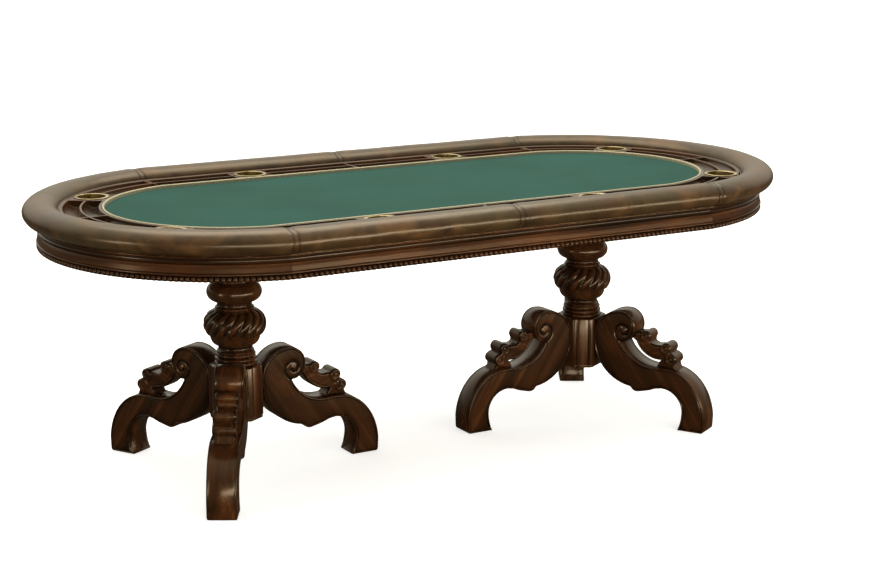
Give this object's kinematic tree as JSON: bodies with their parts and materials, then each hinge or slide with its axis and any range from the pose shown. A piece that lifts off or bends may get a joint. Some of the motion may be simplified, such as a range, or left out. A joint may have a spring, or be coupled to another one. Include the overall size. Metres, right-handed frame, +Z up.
{
  "type": "gaming table",
  "caption": "Oval gaming table with a padded leather rail, drop-in brass cup holders, chip troughs, a felt playing surface and turned pedestals on scroll legs.",
  "frame": {"origin": "on the floor, under the middle of the top", "axes": "+X along the table's long axis, +Y across it, +Z up"},
  "size_m": [2.273, 1.1336, 0.787],
  "materials": {
    "mahogany": "dark red-brown glaze under gloss lacquer",
    "leather": "antiqued brown leather with a soft shine",
    "brass": "polished",
    "felt": "bottle-green felt",
    "gilt": "pale gilt over wood",
    "board": "unfinished birch plywood"
  },
  "bodies": {
    "table": {"rail_pad_front_left": "leather", "rail_pad_front_right": "leather", "rail_pad_back_left": "leather", "rail_pad_back_right": "leather", "rail_pad_left_end": "leather", "rail_pad_right_end": "leather", "rail_core_front": "board", "apron_front": "mahogany", "beading_front": "mahogany", "rail_core_back": "board", "apron_back": "mahogany", "beading_back": "mahogany", "rail_core_left": "board", "apron_left": "mahogany", "beading_left": "mahogany", "rail_core_right": "board", "apron_right": "mahogany", "beading_right": "mahogany", "chip_rail_front_left": "mahogany", "chip_rail_front_right": "mahogany", "chip_rail_back_left": "mahogany", "chip_rail_back_right": "mahogany", "chip_rail_left_front": "mahogany", "chip_rail_left_back": "mahogany", "chip_rail_right_front": "mahogany", "chip_rail_right_back": "mahogany", "felt_cloth": "felt", "felt_bead": "gilt", "playing_board": "board", "table_bed": "board", "left_batten": "board", "left_plate": "mahogany", "left_column": "mahogany", "left_hub": "mahogany", "left_leg_inner": "mahogany", "left_crest_inner": "mahogany", "left_leg_front": "mahogany", "left_crest_front": "mahogany", "left_leg_back": "mahogany", "left_crest_back": "mahogany", "right_batten": "board", "right_plate": "mahogany", "right_column": "mahogany", "right_hub": "mahogany", "right_leg_inner": "mahogany", "right_crest_inner": "mahogany", "right_leg_front": "mahogany", "right_crest_front": "mahogany", "right_leg_back": "mahogany", "right_crest_back": "mahogany"},
    "cup_front_left": {"cup_holder_front_left": "brass"},
    "cup_front_right": {"cup_holder_front_right": "brass"},
    "cup_back_left": {"cup_holder_back_left": "brass"},
    "cup_back_right": {"cup_holder_back_right": "brass"},
    "cup_left_front": {"cup_holder_left_front": "brass"},
    "cup_left_back": {"cup_holder_left_back": "brass"},
    "cup_right_front": {"cup_holder_right_front": "brass"},
    "cup_right_back": {"cup_holder_right_back": "brass"}
  },
  "joints": [
    {"name": "cup_front_left_lift", "type": "slide", "parent": "table", "child": "cup_front_left", "axis": [0, 0, 1], "range_m": [0, 0.075]},
    {"name": "cup_front_right_lift", "type": "slide", "parent": "table", "child": "cup_front_right", "axis": [0, 0, 1], "range_m": [0, 0.075]},
    {"name": "cup_back_left_lift", "type": "slide", "parent": "table", "child": "cup_back_left", "axis": [0, 0, 1], "range_m": [0, 0.075]},
    {"name": "cup_back_right_lift", "type": "slide", "parent": "table", "child": "cup_back_right", "axis": [0, 0, 1], "range_m": [0, 0.075]},
    {"name": "cup_left_front_lift", "type": "slide", "parent": "table", "child": "cup_left_front", "axis": [0, 0, 1], "range_m": [0, 0.075]},
    {"name": "cup_left_back_lift", "type": "slide", "parent": "table", "child": "cup_left_back", "axis": [0, 0, 1], "range_m": [0, 0.075]},
    {"name": "cup_right_front_lift", "type": "slide", "parent": "table", "child": "cup_right_front", "axis": [0, 0, 1], "range_m": [0, 0.075]},
    {"name": "cup_right_back_lift", "type": "slide", "parent": "table", "child": "cup_right_back", "axis": [0, 0, 1], "range_m": [0, 0.075]}
  ]
}
